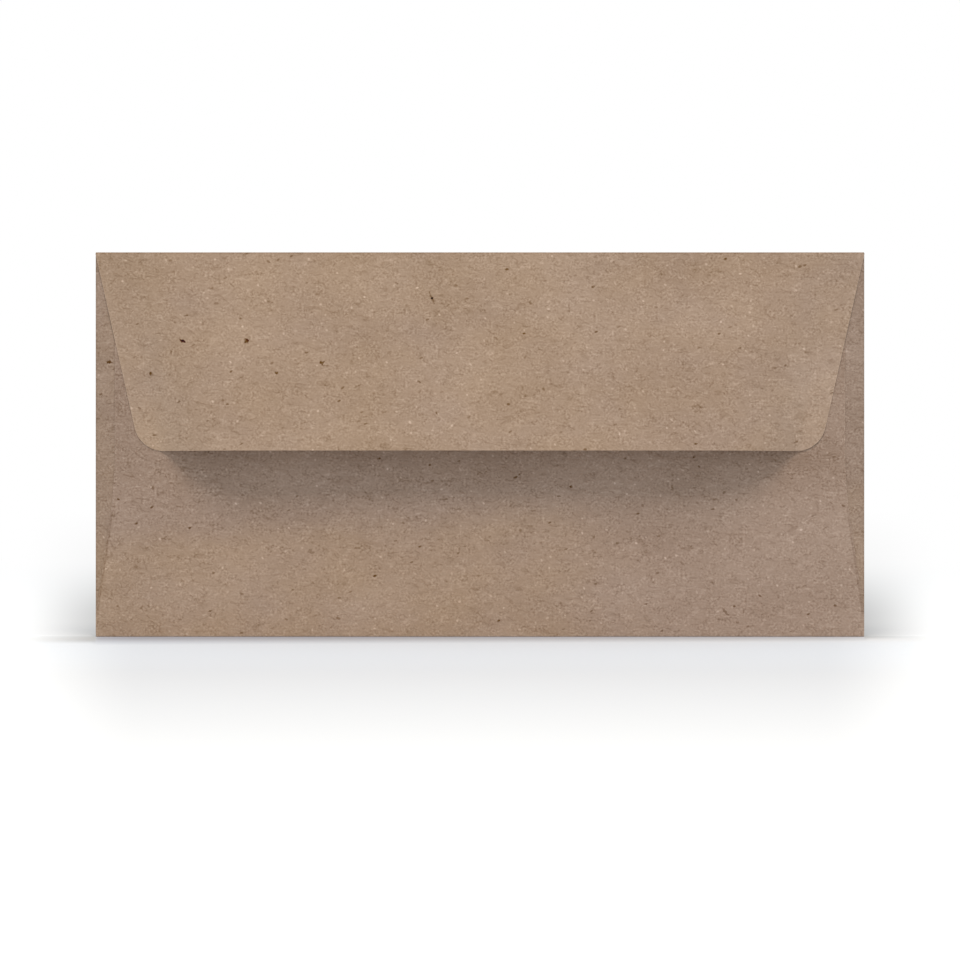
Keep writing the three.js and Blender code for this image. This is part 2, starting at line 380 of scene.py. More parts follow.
def make_back_panel():
    """The run t starts at the front panel: an arc of half a turn, then the rise z to the lip."""
    arc = np.linspace(0, math.pi, FOLD_STEPS)
    near_fold = BOTTOM_Z + np.geomspace(FIRST_STEP, NEAR_FOLD, NEAR_FOLD_STEPS)
    corner = LIP_Z - LIP_CORNER + LIP_CORNER * round_steps(LIP_STEPS)
    rise = joined_rows(near_fold, corner, BACK_ROWS, BACK_ROW_ENDS)
    z_rows = np.concatenate([BOTTOM_Z - BOTTOM_OUTER * np.sin(arc), rise])
    half_rows = np.concatenate([np.full(FOLD_STEPS, FOOT_HALF), back_half(rise)])
    run = np.concatenate([arc * BOTTOM_OUTER, BOTTOM_RUN + rise - BOTTOM_Z])
    s, z = np.meshgrid(crowded(COLUMNS), z_rows)
    x = s * half_rows[:, None]
    y = back_y(x, z)
    y[:FOLD_STEPS] = BOTTOM_OUTER * np.cos(arc)[:, None]
    t = np.broadcast_to(run[:, None], x.shape)
    cut = np.minimum(half_rows[:, None] - abs(x), run[-1] - t)
    fold = abs(t - BOTTOM_RUN / 2)
    points = np.stack([x, y, z], -1)
    flat = np.stack([x, -t], -1)
    return sheet_piece("back_panel_paper", points, flat, cut, fold, FLAP_SIDE)


back_panel = make_back_panel()

# %% [markdown]
# Each side flap goes half a turn round its upright fold and lies down behind the front panel. Its
# two ends are cut at a slant, so that they slide past each other in the folding machine. Here the
# columns run round the fold and the rows up the flap, between the two slanted ends.

# %% Profile of the side flaps
SIDE_STEPS = 14
SIDE_CORNER_STEPS = 12
SIDE_CORNER_START = 0.1


def side_profile():
    """The run w, and for each step of it x, y and how far the flap's two ends are cut back. The run
    is an arc of half a turn and a straight stretch. The ends are cut back in proportion to that
    stretch, and by a quarter circle at the inner corners."""
    arc = np.linspace(0, math.pi, FOLD_STEPS)
    to_corner = SIDE_WIDTH - SIDE_CORNER
    corner = to_corner + SIDE_CORNER * round_steps(SIDE_CORNER_STEPS, SIDE_CORNER_START)
    across = np.concatenate([np.geomspace(FIRST_STEP, to_corner, SIDE_STEPS), corner])
    over = np.clip(across - to_corner, 0, SIDE_CORNER)
    rounding = SIDE_CORNER - np.sqrt(SIDE_CORNER ** 2 - over ** 2)
    w = np.concatenate([arc * SIDE_FOLD_OUTER, SIDE_FOLD_RUN + across])
    x = np.concatenate([SIDE_X + SIDE_FOLD_OUTER * np.sin(arc), SIDE_X - across])
    y_flat = np.full(across.size, SIDE_FOLD_Y - SIDE_FOLD_OUTER)
    y = np.concatenate([SIDE_FOLD_Y + SIDE_FOLD_OUTER * np.cos(arc), y_flat])
    cut_back = np.concatenate([np.zeros(FOLD_STEPS), SIDE_RISE * across / SIDE_WIDTH + rounding])
    return w, x, y, cut_back


print("a side flap's run is", round(side_profile()[0][-1], 1), "mm long")

# %% Side flaps
SIDE_ROWS = 60


def make_side(side, word):
    """The profile, drawn up from the cut at its lower end to the cut at its upper end. side is -1
    for the left flap and 1 for the right one."""
    w, x, y, cut_back = side_profile()
    low = side_low[2] + cut_back
    high = side_high[2] - cut_back
    k = (crowded(SIDE_ROWS)[:, None] + 1) / 2
    z = low + k * (high - low)
    w, x, y = (np.broadcast_to(row, z.shape) for row in (w, side * x, y))
    cut = np.minimum(np.minimum(z - low, high - z), w.max() - w)
    fold = abs(w - SIDE_FOLD_RUN / 2)
    points = np.stack([x, y, z], -1)
    flat = np.stack([side * (SIDE_X + w), z], -1)
    return sheet_piece(f"{word}_side_paper", points, flat, cut, fold, FLAP_SIDE)


sides = {word: make_side(side, word) for side, word in ((-1, "left"), (1, "right"))}

# %% [markdown]
# The seal flap is the piece that gives this envelope its look. It comes over the crease, stands
# some millimetres off the back panel, and is arched, as paper is that was folded and let go: its
# slanted edges lie almost on the panel and its middle stands up. The crease and the flap are again
# one run of paper. The frame turns the flap about the crease's axis, and the two ends of the
# crease's bend, at the front panel and at the flap, are worked out below.

# %% Outline of the seal flap
CREASE_TURN = math.pi - REST_ANGLE
CREASE_RUN = CREASE_TURN * CREASE_OUTER
FLAP_START = front_high[2] + CREASE_RUN
CORNER_REACH = FLAP_REACH - FLAP_CORNER


def flap_half(reach, inset=0.0):
    """Half the flap's width at a reach from the crease: a straight slant, then a round corner."""
    at_zero = HALF_WIDTH - inset / math.cos(FLAP_SLANT)
    slant = at_zero - math.tan(FLAP_SLANT) * reach
    radius = FLAP_CORNER - inset
    centre_x = at_zero - math.tan(FLAP_SLANT) * CORNER_REACH - radius / math.cos(FLAP_SLANT)
    over = np.clip(reach - CORNER_REACH, 0, radius)
    corner = centre_x + np.sqrt(radius ** 2 - over ** 2)
    return np.where(reach < CORNER_REACH + radius * math.sin(FLAP_SLANT), slant, corner)


print("half the flap's width is", round(float(flap_half(CORNER_REACH)), 2), "mm where its corners start")

# %% Arch of the seal flap
FLAP_BOW = 8.3
FLAP_FLATNESS = 12
FLAP_LANDING = 0.943
EDGE_CURL = 0.33
FLAP_COCKLE = 0.14
FLAP_FADE = 40
FLAP_WAVE_SHIFT = 90


def flap_points(x, reach):
    """The flap's outer face. Across the flap its height is a flat arch, the bow times the square of
    1 less a high power of the place, so that it leaves the panel smoothly. The arch and the cockle
    grow with the reach, so both are nothing at the crease. Beyond the landing the slanted edges
    curl in by a little that grows with the reach squared."""
    share = abs(x) / (HALF_WIDTH - math.tan(FLAP_SLANT) * reach)
    landing = np.clip(share / FLAP_LANDING, 0, 1) ** FLAP_FLATNESS
    grown = reach / FLAP_REACH
    arch = FLAP_BOW * (1 - landing) ** 2 * grown
    curl = EDGE_CURL * landing * grown ** 2
    wave = FLAP_COCKLE * cockle(x, reach + FLAP_WAVE_SHIFT) * fade(reach, FLAP_FADE)
    off = CREASE_OUTER + arch - curl + wave
    y = CREASE_Y - off * math.cos(REST_ANGLE) - reach * math.sin(REST_ANGLE)
    z = CREASE_Z + off * math.sin(REST_ANGLE) - reach * math.cos(REST_ANGLE)
    return np.stack([x, y, z], -1)


edge_middle = flap_points(np.zeros(1), np.full(1, FLAP_REACH))[0]
print("the middle of the flap's free edge is at", np.round(edge_middle, 2), "mm")

# %% Seal flap
CREASE_STEPS = 18
NEAR_CREASE = 6
NEAR_CREASE_STEPS = 9
FLAP_ROWS = 34
FLAP_ROW_ENDS = (1.5, 1.2)
FLAP_CORNER_STEPS = 20


def make_seal_flap():
    """The run t starts at the front panel: an arc round the crease's axis, then the reach."""
    arc = np.linspace(0, CREASE_TURN, CREASE_STEPS)
    near_crease = np.geomspace(FIRST_STEP, NEAR_CREASE, NEAR_CREASE_STEPS)
    corner = CORNER_REACH + FLAP_CORNER * round_steps(FLAP_CORNER_STEPS, FLAP_SLANT)
    reach_rows = joined_rows(near_crease, corner, FLAP_ROWS, FLAP_ROW_ENDS)
    crease_half = np.linspace(front_high[0], flap_half(0.0), CREASE_STEPS)
    half_rows = np.concatenate([crease_half, flap_half(reach_rows)])
    x = crowded(COLUMNS) * half_rows[:, None]
    crease = np.stack(np.broadcast_arrays(
        x[:CREASE_STEPS],
        CREASE_Y + CREASE_OUTER * np.cos(arc)[:, None],
        CREASE_Z + CREASE_OUTER * np.sin(arc)[:, None],
    ), -1)
    panel = flap_points(x[CREASE_STEPS:], reach_rows[:, None])
    run = np.concatenate([arc * CREASE_OUTER, CREASE_RUN + reach_rows])
    t = np.broadcast_to(run[:, None], x.shape)
    cut = np.minimum(half_rows[:, None] - abs(x), run[-1] - t)
    cut = np.where(t < CREASE_RUN, NO_EDGE, cut)
    fold = abs(t - CREASE_RUN / 2)
    flat = np.stack([x, front_high[2] + t], -1)
    return sheet_piece("seal_flap_paper", np.concatenate([crease, panel]), flat, cut, fold, FLAP_SIDE)


seal_flap = make_seal_flap()

# %% [markdown]
# The gum is a brushed-on strip along the flap's edge, thinner than a hair. It is made from the same
# function as the flap, a paper's thickness behind the outer face, so it cannot miss the paper. Its
# upper border wavers a little, as the roller leaves it.

# %% Gum strip
GUM_WIDTH = 12.0
GUM_INSET = 2.5
GUM_FILM = 0.03
GUM_GAP = 0.01
GUM_WAVER = 0.5
GUM_ROWS = 8
GUM_ROW_END = 0.8
GUM_CORNER_STEPS = 12


def make_gum():
    """The rows run down the strip. The waver is a cockle that is half a millimetre at most, full at
    the border away from the flap's edge and nothing at the other."""
    bottom = FLAP_REACH - GUM_INSET
    corner = CORNER_REACH + (FLAP_CORNER - GUM_INSET) * round_steps(GUM_CORNER_STEPS, FLAP_SLANT)
    middle = np.linspace(bottom - GUM_WIDTH, corner[0] - GUM_ROW_END, GUM_ROWS)
    rows = np.concatenate([middle, corner])[:, None]
    half = flap_half(rows, GUM_INSET)
    x = crowded(COLUMNS) * half
    k = (bottom - rows) / GUM_WIDTH
    reach = rows + GUM_WAVER * k * cockle(4 * x, np.zeros_like(x))
    cut = np.minimum(half - abs(x), bottom - reach)
    fold = np.full_like(x, NO_EDGE)
    flat = np.stack([x, reach], -1)
    depths = (PAPER + GUM_GAP, PAPER + GUM_GAP + GUM_FILM)
    return sheet_piece("gum_strip", flap_points(x, reach), flat, cut, fold, FLAP_SIDE, depths)


gum = make_gum()

# %% [markdown]
# Materials are written as sums. The class below wraps an output socket of a node, so that
# 1 - mask or tone * 0.5 adds the Math nodes by itself, and one method, node, adds any other node.
# Colours and vectors have sums of their own, because a Math node would turn a colour grey. A Value
# without a socket is only a start: the tree that a material's first nodes are added to.

# %% Shader sums
class Value:
    """An output socket of a material's nodes that can be used in a Python expression."""

    def __init__(self, tree, socket=None):
        self.tree = tree
        self.socket = socket

    def node(self, kind, settings=None, sockets=None, output=0):
        """Adds a node of a kind, makes its settings, fills its sockets, and returns one output."""
        made = self.tree.nodes.new(kind)
        for key, value in (settings or {}).items():
            setattr(made, key, value)
        for key, value in (sockets or {}).items():
            target = socket_named(made.inputs, key)
            if isinstance(value, Value):
                self.tree.links.new(value.socket, target)
            else:
                target.default_value = value
        return Value(self.tree, socket_named(made.outputs, output))

    def other(self, output):
        """Another output of the node that this value comes from."""
        return Value(self.tree, socket_named(self.socket.node.outputs, output))

    def feed(self, node, name):
        """Links this value to an input of a node that is already there."""
        self.tree.links.new(self.socket, node.inputs[name])

    def math(self, operation, *values):
        """A Math node on one or two values, which are numbers or Values."""
        return self.node("ShaderNodeMath", {"operation": operation}, dict(enumerate(values)))

    def __add__(self, other):
        return self.math("ADD", self, other)

    __radd__ = __add__

    def __sub__(self, other):
        return self.math("SUBTRACT", self, other)

    def __rsub__(self, other):
        return self.math("SUBTRACT", other, self)

    def __mul__(self, other):
        return self.math("MULTIPLY", self, other)

    __rmul__ = __mul__

    def __truediv__(self, other):
        return self.math("DIVIDE", self, other)

    def __rtruediv__(self, other):
        return self.math("DIVIDE", other, self)

    def __abs__(self):
        return self.math("ABSOLUTE", self)

    def above(self, low, high, way="SMOOTHSTEP"):
        """0 up to low, 1 from high, and smooth between, or straight where way is LINEAR."""
        sockets = {"Value": self, "From Min": low, "From Max": high}
        return self.node("ShaderNodeMapRange", {"interpolation_type": way}, sockets, "Result")

    def vector(self, operation, *vectors):
        """A Vector Math node on one or more colours or vectors."""
        settings = {"operation": operation}
        return self.node("ShaderNodeVectorMath", settings, dict(enumerate(vectors)), "Vector")

    def scaled(self, vector, factor):
        """A colour or vector times a number."""
        sockets = {0: vector, "Scale": factor}
        return self.node("ShaderNodeVectorMath", {"operation": "SCALE"}, sockets, "Vector")

    def length(self, vector):
        """How long a vector is."""
        return self.node("ShaderNodeVectorMath", {"operation": "LENGTH"}, {0: vector}, "Value")

    def mix(self, factor, first, second):
        """A colour between two: the first where factor is 0, the second where it is 1."""
        sockets = {"Factor_Float": factor, "A_Color": first, "B_Color": second}
        return self.node("ShaderNodeMix", {"data_type": "RGBA"}, sockets, "Result_Color")


def socket_named(sockets, key):
    """The socket with this number or identifier, or else the first shown one with this name."""
    if isinstance(key, int):
        return sockets[key]
    for socket in sockets:
        if socket.identifier == key:
            return socket
    return next(socket for socket in sockets if socket.name == key and socket.enabled)


def new_material(name):
    """A material, the node of its surface, and the start of its sums."""
    material = bpy.data.materials.new(name)
    material.use_nodes = True
    tree = material.node_tree
    return material, tree.nodes["Principled BSDF"], Value(tree)


# %% [markdown]
# Every pattern starts with the same question: where is this point in the pattern? A Mapping node of
# the texture kind answers it. It takes the pattern's own place off, turns the rest back, and divides
# it by the size of a feature. A stretched feature is then only a size that differs by direction.

# %% Patterns with a place and a size
def placed(vector, place, turn, size):
    """A point in the pattern's own units: less its place, turned back by degrees, over its size."""
    sockets = {"Vector": vector, "Location": place, "Rotation": (0, 0, math.radians(turn)), "Scale": size}
    return vector.node("ShaderNodeMapping", {"vector_type": "TEXTURE"}, sockets)


def noise(vector, length, width, turn, shift, detail=1.0):
    """A noise with features of length by width mm, turned by an angle in degrees. shift only takes
    another stretch of the same endless pattern."""
    point = placed(vector, (shift, -shift / 2, 0), turn, (length, width, 1))
    sockets = {"Vector": point, "Scale": 1.0, "Detail": detail}
    return vector.node("ShaderNodeTexNoise", {"noise_dimensions": "2D"}, sockets, "Fac")


# %% [markdown]
# Kraft paper is made of long unbleached fibres. From a reading distance one sees a cloudy
# unevenness, short dark and pale fibres that lie mostly along the sheet, curled ones between them,
# pale specks of clean fibre, and dark specks of bark. A noise whose coordinates are stretched makes
# streaks, and only its crests are kept, as separate fibres. The line along which a soft noise
# crosses its middle value winds like a curled fibre.

# %% Fibres
BEND = 2.5
BEND_SCALE = 0.16
LEVEL_CREST = (0.62, 0.80)
SLANTED_CREST = (0.64, 0.80)
LEVEL_DIP = (0.60, 0.76)
SLANTED_DIP = (0.62, 0.78)
CURL_LINE = (0.012, 0.06)
CURL_KEPT = (0.50, 0.60)
SLANTED_DARK = 0.9
CURLED_DARK = 1.4
SLANTED_PALE = 0.7
CURLED_PALE = 1.2


def bent_place(pulp):
    """Places that a soft colour noise moves by up to a few millimetres, so that no fibre is straight."""
    warp = pulp.node("ShaderNodeTexNoise", {}, {"Vector": pulp, "Scale": BEND_SCALE, "Detail": 1.0}, "Color")
    return pulp.vector("MULTIPLY_ADD", warp, (BEND, BEND, 0), pulp)


def curls(bent, length, width, turn, shift):
    """Curled fibres: 1 where a noise is at its middle value, 0 a little away from it, and kept only
    where a second noise is high."""
    field = noise(bent, length, width, turn, shift)
    kept = noise(bent, length, width, turn, shift + 200)
    return (1 - abs(field - 0.5).above(*CURL_LINE)) * kept.above(*CURL_KEPT)


def fibres(bent):
    """How much dark and how much pale fibre lies at a place. The dark ones are the crests of three
    noises that lie level, rising and falling, and the pale ones the dips of two of them."""
    level = noise(bent, length=4.0, width=0.46, turn=2, shift=13)
    rising = noise(bent, length=2.8, width=0.42, turn=34, shift=71)
    falling = noise(bent, length=2.8, width=0.42, turn=-38, shift=37)
    slanted = rising.above(*SLANTED_CREST) + falling.above(*SLANTED_CREST)
    dark = level.above(*LEVEL_CREST) + SLANTED_DARK * slanted
    dark = dark + CURLED_DARK * curls(bent, length=4.4, width=2.6, turn=8, shift=113)
    pale = (1 - level).above(*LEVEL_DIP) + SLANTED_PALE * (1 - rising).above(*SLANTED_DIP)
    pale = pale + CURLED_PALE * curls(bent, length=3.8, width=2.4, turn=-12, shift=167)
    return dark, pale


# %% [markdown]
# Specks are the middles of Voronoi cells, kept only in the few cells whose random colour is high.
# Bark is dark, rare and large, crumbs are dark, small and more common, and the bright ones are
# bits of clean fibre. A Voronoi texture is right for them, because it never puts two specks on
# one spot.

# %% Specks
SPECK_EDGE = (0.25, 0.6)
FAINTEST_SPECK = 0.3
CHANCE_STEP = 0.001
BARK_DARKNESS = 0.80
CRUMB_DARKNESS = 0.66
BRIGHTNESS = 0.66


def specks(bent, cell, size, stretch, turn, kept, shift):
    """Specks of a size in mm, longer by stretch, one at most in each cell, and only in the kept
    share of cells. Each one's strength grows with the square of a random number."""
    point = placed(bent, (shift, shift, 0), turn, (cell * stretch, cell, cell))
    settings = {"voronoi_dimensions": "2D"}
    near = bent.node("ShaderNodeTexVoronoi", settings, {"Vector": point, "Scale": 1.0}, "Distance")
    chance = bent.node("ShaderNodeSeparateColor", {}, {"Color": near.other("Color")}, "Blue")
    strength = chance.other("Green")
    spot = 1 - near.above(*(edge * size / cell for edge in SPECK_EDGE))
    chosen = chance.above(1 - kept, 1 - kept + CHANCE_STEP)
    return spot * chosen * (FAINTEST_SPECK + (1 - FAINTEST_SPECK) * strength * strength)


def all_specks(bent):
    """What the three kinds of speck add to the tone."""
    bark = specks(bent, cell=6.5, size=0.75, stretch=1.5, turn=25, kept=0.05, shift=31)
    crumbs = specks(bent, cell=3.1, size=0.66, stretch=1.8, turn=-20, kept=0.13, shift=91)
    bright = specks(bent, cell=2.4, size=0.66, stretch=1.2, turn=40, kept=0.15, shift=67)
    return BRIGHTNESS * bright - BARK_DARKNESS * bark - CRUMB_DARKNESS * crumbs


# %% [markdown]
# A few marks of this sheet are large enough to know it by: three bark specks in a row on the flap, a
# hair-thin fibre near its top, a faint stain near its edge and a dark dash low on the back. They
# are placed one by one, each as a stretched round spot. Their places are read off the picture in
# pixels, so three short functions turn a pixel into a place on the blank.

# %% Places in the picture
PICTURE_PIXELS = 960
PIXEL = PICTURE_WIDTH / PICTURE_PIXELS
MIDDLE_PIXEL = PICTURE_PIXELS / 2
CREASE_PIXEL = 252.4
FOOT_PIXEL = 636.7


def on_flap(px, py):
    """A place on the flap from a place in the picture, on the blank: across, and along the run."""
    return (px - MIDDLE_PIXEL) * PIXEL, FLAP_START + (py - CREASE_PIXEL) * PIXEL


def on_back(px, py):
    """The same on the back panel, whose run counts down from 0 at the bottom fold."""
    return (px - MIDDLE_PIXEL) * PIXEL, -BOTTOM_RUN - (FOOT_PIXEL - py) * PIXEL


def on_side(px, py):
    """The same on a side flap, whose run goes on outwards from the side fold."""
    x = (px - MIDDLE_PIXEL) * PIXEL
    run = SIDE_FOLD_RUN + SIDE_X - abs(x)
    return math.copysign(SIDE_X + run, x), (FOOT_PIXEL - py) * PIXEL


print("one pixel of the picture is", round(PIXEL, 4), "mm of paper")

# %% Marks placed one by one
# Each mark: its place, length and width in mm, turn in degrees, and how dark it is.
FLAP_MARKS = [
    (*on_flap(184, 340), 1.05, 0.62, 10, 1.00),
    (*on_flap(248, 340), 0.90, 0.70, 70, 1.00),
    (*on_flap(323, 362), 0.95, 0.78, 0, 0.75),
    (*on_flap(278, 372), 0.70, 0.52, 30, 0.60),
    (*on_flap(151, 372), 0.65, 0.52, 80, 0.60),
    (*on_flap(432, 297), 2.4, 0.36, 66, 0.42),
    (*on_flap(397, 282), 0.55, 0.42, 10, 0.42),
    (*on_flap(531, 302), 1.00, 0.50, 40, 0.42),
    (*on_flap(549, 310), 0.60, 0.40, 0, 0.30),
    (*on_flap(419, 381), 0.65, 0.42, 30, 0.42),
    (*on_flap(695, 407), 1.8, 1.3, 30, 0.20),
]
BACK_MARKS = [
    (*on_back(725, 613), 1.9, 0.50, 50, 0.45),
    (*on_back(311, 553), 1.2, 0.85, 10, 0.28),
]
SIDE_MARKS = [
    (*on_side(109, 362), 0.85, 0.65, 0, 0.65),
]
MARK_EDGE = (0.5, 1.0)
RAGGED = 1.2
ANY_DEPTH = 1000


def mark(flat, grain, x, run, length, width, turn):
    """An ellipse with ragged borders: the distance from its middle, divided by the two half sizes
    and changed by a fine noise."""
    point = placed(flat, (x, run, 0), turn, (length, width, ANY_DEPTH))
    far = flat.length(point) + RAGGED * (grain - 0.5)
    return 1 - far.above(*MARK_EDGE)


print(len(FLAP_MARKS + BACK_MARKS + SIDE_MARKS), "marks, the first at", np.round(FLAP_MARKS[0][:2], 1))

# %% [markdown]
# The patterns all multiply the paper's colour by a tone near 1. On top of them come lines and areas
# that are mostly painted light and shade. The folds are painted darker along their rounding, as
# painted shade, and the bottom fold paler, as a painted highlight. A cut edge is paler, for its pale
# fibre and as painted light that lifts the thin shade beside it. Where the seal flap covers the back,
# painted shade makes the paper darker, and pinker for the light that the flap and the panel throw
# back and forth. The slanted seams have a thin dark line, partly the glued edge and partly painted
# shade, and the flap is painted paler where it bends down to its slanted edges, as painted light on
# those slopes. All of these are masks on the place on the blank: each pair below says where a mask
# starts and where it is full, in mm, or for SLOPE_LIGHT_PLACE as a share of half the flap's width.

# %% Painted light and shade, and pale cut edges
FOLD_SHADING_LINE = (0.5, 0.95)
EDGE_LINE = (0.05, 0.30)
EDGE_PALENESS = 0.11
COVER_EDGE = (29.5, 43)
COVER_TILT = 0.07
COVER_MIDDLE = 0.35
COVER_ENDS = 0.48
COVER_END_PLACE = (70, 95)
SEAM_LINE = (0.4, 0.9)
SEAM_TOP = (34, 38)
SEAM_FOOT = (6, 8)
SLOPE_LIGHT_PLACE = (0.82, 0.895)
SLOPE_LIGHT_REACH = (2, 40)


def edge_light_and_shade(cut, fold, fold_shading):
    """The painted shade along a fold, negative where it is a painted highlight, and the pale cut edge, pale
    fibre and painted light together.
    """
    return EDGE_PALENESS * (1 - cut.above(*EDGE_LINE)) - fold_shading * (1 - fold.above(*FOLD_SHADING_LINE))


def under_flap(across, along):
    """1 where the seal flap covers the back, from a line that rises a little to the right."""
    return (abs(along) - COVER_TILT * across).above(*COVER_EDGE)


def painted_flap_shadow(across, covered):
    """How dark the flap's painted shadow is on the covered paper: more so at the two ends, where the flap
    lies closer to it.
    """
    return covered * (COVER_MIDDLE + COVER_ENDS * abs(across).above(*COVER_END_PLACE))


def seam_line(along, cut):
    """1 along the slanted stretch of the back panel's cut edges, between the foot and the knee: a thin dark
    line, partly the glued edge and partly painted shade.
    """
    height = abs(along)
    return (1 - cut.above(*SEAM_LINE)) * (1 - height.above(*SEAM_TOP)) * height.above(*SEAM_FOOT)


def painted_slope_light(across, along):
    """Where light is painted on the flap's slopes: 1 on its outer tenths, where it bends down, growing with
    the reach.
    """
    reach = along - FLAP_START
    share = abs(across) / (HALF_WIDTH - math.tan(FLAP_SLANT) * reach)
    return share.above(*SLOPE_LIGHT_PLACE) * reach.above(*SLOPE_LIGHT_REACH)


# %% [markdown]
# The kraft colour is written in linear light, where a paper in plain light shows the number that is
# written. It lies between a yellower and a pinker brown. The tone darkens and lightens it half as a
# colour and half as grey, because real specks are greyer than the paper.

# %% Tone and colour
KRAFT_YELLOW = (0.384, 0.267, 0.181, 1)
KRAFT_PINK = (0.364, 0.262, 0.202, 1)
KRAFT_GREY = (0.27, 0.27, 0.27)
CLOUD_TONE = 0.32
MOTTLE_TONE = 0.12
GRAIN_TONE = 0.27
PATCHY_GRAIN_TONE = 0.59
PATCH_EDGE = (0.35, 0.65)
DARK_TONE = 0.115
PALE_TONE = 0.11
HUE_NOISE = 0.42
HUE_RANGE = (0.2, 0.8)
DRIFT_PLACE = (10, 65)
COVER_PINK = 2.2


def pulp_tone(pulp, mottle, grain):
    """The unevenness of the pulp: wide clouds, a mottle, and a grain that is stronger in patches."""
    clouds = noise(pulp, length=30.0, width=18.0, turn=0, shift=9, detail=2.0)
    patches = noise(pulp, length=4.2, width=2.8, turn=0, shift=77).above(*PATCH_EDGE)
    coarse = CLOUD_TONE * (clouds - 0.5) + MOTTLE_TONE * (mottle - 0.5)
    return coarse + (GRAIN_TONE + PATCHY_GRAIN_TONE * patches) * (grain - 0.5)


def pinkness(pulp, across, covered, pink, drift, flap_shadow):
    """How far the colour is from yellow to pink: a noise, more in the right half, and more under the
    flap, as a painted pink tint of the light thrown between the flap and the panel."""
    hue = HUE_NOISE * noise(pulp, length=22.0, width=16.0, turn=0, shift=41, detail=2.0)
    hue = hue + pink + drift * across.above(*DRIFT_PLACE) + COVER_PINK * flap_shadow * covered
    return hue.above(*HUE_RANGE)


def toned(start, hue, tone, shade):
    """The paper's colour at a hue, lightened or darkened by the tone, half as itself and half as
    grey, and then by the shade."""
    half = (tone - 1) / 2
    colour = start.scaled(start.mix(hue, KRAFT_YELLOW, KRAFT_PINK), 1 + half)
    return start.scaled(start.vector("ADD", colour, start.scaled(KRAFT_GREY, half)), shade)


# %% [markdown]
# One function puts a kraft paper together, and a few numbers tell its areas apart. The patterns
# also lift the surface in a Bump node, by a few hundredths of a millimetre, so that raking light
# finds the fibres. The inner face of the sheet takes its pulp from another stretch of the pattern,
# or every speck would go through the paper.

# %% Kraft paper
HALF_DEPTH = (0.4 * PAPER, 0.6 * PAPER)
INNER_SHIFT = (61, 38, 0)
BUMP_HEIGHT = 0.05 * MM
BUMP_STRENGTH = 0.6
DARK_RISE = 0.5
PALE_DIP = 0.4
GRAIN_RISE = 0.8
MOTTLE_RISE = 0.6
ROUGHNESS = 0.86
MOTTLE_ROUGHNESS = 0.08
PALE_GLOSS = 0.05
SPECULAR = 0.3


def make_kraft(name, shade, fold_shading, pink, drift=0.0, flap_shadow=0.0, seam=0.0, slope_light=0.0, marks=()):
    """A material for one area of the paper. shade multiplies its colour, score is how much painted
    shade darkens it along a fold, and with a negative number how much a painted highlight lightens it,
    pink how far its colour is from yellow, drift how much pinker its right half is, shelter how much
    painted shade darkens it and makes it pinker where the seal flap covers it, seam how dark the line
    along its slanted cut edges is, partly the glued edge and partly painted shade, and rub how much
    painted light lightens it where the flap bends down to its slanted edges."""
    material, surface, start = new_material(name)
    flat = start.node("ShaderNodeAttribute", {"attribute_name": "flat"}, {}, "Vector")
    cut = start.node("ShaderNodeAttribute", {"attribute_name": "cut"}, {}, "Fac")
    fold = start.node("ShaderNodeAttribute", {"attribute_name": "fold"}, {}, "Fac")
    across = start.node("ShaderNodeSeparateXYZ", {}, {0: flat}, "X")
    along = across.other("Y")
    inside = across.other("Z").above(*HALF_DEPTH)
    pulp = start.vector("ADD", flat, start.scaled(INNER_SHIFT, inside))
    bent = bent_place(pulp)

    dark, pale = fibres(bent)
    mottle = noise(pulp, length=2.4, width=1.7, turn=0, shift=57, detail=2.0)
    grain = noise(pulp, length=0.66, width=0.66, turn=0, shift=23)
    covered = under_flap(across, along)
    tone = 1 + pulp_tone(pulp, mottle, grain) - DARK_TONE * dark + PALE_TONE * pale + all_specks(bent)
    for *spot, strength in marks:
        tone = tone - strength * (1 - inside) * mark(flat, grain, *spot)
    tone = tone + edge_light_and_shade(cut, fold, fold_shading) + slope_light * painted_slope_light(across, along)
    tone = tone - flap_shadow * painted_flap_shadow(across, covered) - seam * seam_line(along, cut)
    hue = pinkness(pulp, across, covered, pink, drift, flap_shadow)
    toned(start, hue, tone, shade).feed(surface, "Base Color")

    height = DARK_RISE * dark - PALE_DIP * pale + GRAIN_RISE * grain + MOTTLE_RISE * mottle
    sockets = {"Height": height, "Strength": BUMP_STRENGTH, "Distance": BUMP_HEIGHT}
    start.node("ShaderNodeBump", {}, sockets, "Normal").feed(surface, "Normal")
    roughness = ROUGHNESS + MOTTLE_ROUGHNESS * (mottle - 0.5) - PALE_GLOSS * pale
    roughness.feed(surface, "Roughness")
    surface.inputs["Specular IOR Level"].default_value = SPECULAR
    return material


# Some of these numbers paint light and shade: score along the folds, shelter under the flap, seam in part
# along the seams, rub on the flap's slopes, and the side flaps' lower shade paints shade on the strips
# beside the flap.
kraft_flap = make_kraft(
    "kraft_flap", shade=0.926, fold_shading=0.20, pink=0.17, drift=0.09, slope_light=0.12, marks=FLAP_MARKS)
kraft_back = make_kraft(
    "kraft_back", shade=0.942, fold_shading=-0.12, pink=0.22, drift=0.42, flap_shadow=0.16, seam=0.24, marks=BACK_MARKS)
kraft_side = make_kraft(
    "kraft_side", shade=0.866, fold_shading=0.08, pink=0.21, drift=0.17, flap_shadow=0.075, marks=SIDE_MARKS)
kraft_front = make_kraft("kraft_front", shade=0.975, fold_shading=0.05, pink=0.20)
print("the flap's kraft has", len(kraft_flap.node_tree.nodes), "nodes")

# %% [markdown]
# The gum is a film of dried dextrin: a shade darker than the paper, and glossier. It pools and thins
# in long streaks along the strip. The glue in the seams is the same kind of film in a paler colour.

